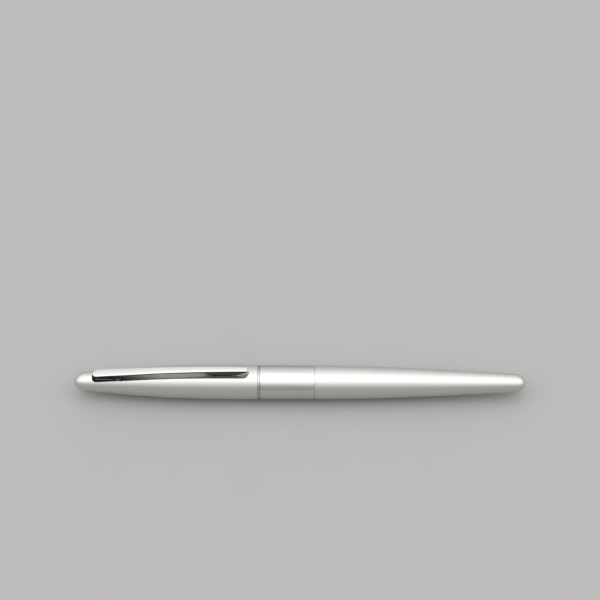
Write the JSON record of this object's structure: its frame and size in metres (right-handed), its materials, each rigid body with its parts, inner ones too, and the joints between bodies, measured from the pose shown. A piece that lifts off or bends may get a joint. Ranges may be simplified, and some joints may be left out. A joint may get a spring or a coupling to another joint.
{
  "type": "fountain pen",
  "caption": "Slim satin metal fountain pen with a pull-off clip cap, polished barrel band, screw-off barrel, nib and feed, and a twist-piston ink converter inside.",
  "frame": {"origin": "on the pen's axis, in the seam between the cap and the barrel", "axes": "+X along the pen towards the barrel's tail, the cap towards -X; +Z out of the side the clip and the nib's upper face are on; +Y completes a right-handed frame"},
  "size_m": [0.138, 0.0106, 0.0122],
  "materials": {
    "satin_steel": "satin, fine lengthwise grain",
    "polished_steel": "polished with hairline streaks",
    "chrome_clip": "bright polished",
    "ring_steel": "polished, slightly darker than the band",
    "black_plastic": "glossy black",
    "grey_plastic": "matt, very dark grey",
    "brass": "turned",
    "nib_steel": "polished steel",
    "clear_plastic": "clear plastic",
    "seal_rubber": "black rubber"
  },
  "bodies": {
    "grip": {"grip_section": "black_plastic", "clutch_ring": "chrome_clip", "thread_collar": "brass", "nib": "nib_steel", "feed": "black_plastic", "nib_housing": "black_plastic", "ink_nipple": "black_plastic"},
    "liner": {"inner_cap": "grey_plastic", "inner_cap_screw": "nib_steel"},
    "cap": {"cap_shell": "satin_steel", "clip_anchor": "grey_plastic"},
    "clip": {"clip": "chrome_clip"},
    "ring": {"trim_ring": "ring_steel"},
    "barrel": {"barrel_shell": "satin_steel", "barrel_band": "polished_steel", "barrel_bush": "brass"},
    "converter": {"converter_tube": "clear_plastic", "converter_sleeve": "chrome_clip"},
    "knob": {"converter_knob": "black_plastic", "drive_nut": "black_plastic"},
    "piston": {"piston_seal": "seal_rubber", "piston_rod": "grey_plastic"}
  },
  "joints": [
    {"name": "cap_pull", "type": "slide", "parent": "grip", "child": "liner", "axis": [-1, 0, 0], "range_m": [0, 0.06]},
    {"name": "cap_turn", "type": "hinge", "parent": "liner", "child": "cap", "pos_m": [-0.028, 0, 0], "axis": [1, 0, 0], "continuous": true},
    {"name": "clip_flex", "type": "hinge", "parent": "cap", "child": "clip", "pos_m": [-0.04995, 0, 0.00215], "axis": [0, -1, 0], "range_deg": [0, 4], "stiffness_Nm_per_rad": 2, "springref_deg": -1.15},
    {"name": "barrel_turn", "type": "hinge", "parent": "grip", "child": "ring", "pos_m": [0.005, 0, 0], "axis": [1, 0, 0], "range_deg": [0, 1800]},
    {"name": "barrel_pull", "type": "slide", "parent": "ring", "child": "barrel", "axis": [1, 0, 0], "range_m": [0, 0.06]},
    {"name": "converter_pull", "type": "slide", "parent": "grip", "child": "converter", "axis": [1, 0, 0], "range_m": [0, 0.01]},
    {"name": "knob_turn", "type": "hinge", "parent": "converter", "child": "knob", "pos_m": [0.036, 0, 0], "axis": [1, 0, 0], "range_deg": [0, 2880]},
    {"name": "piston_travel", "type": "slide", "parent": "converter", "child": "piston", "axis": [1, 0, 0], "range_m": [0, 0.02]}
  ],
  "couplings": [
    {"joint": "knob_turn", "follows": "piston_travel", "rad_per_m": 2513.2}
  ]
}
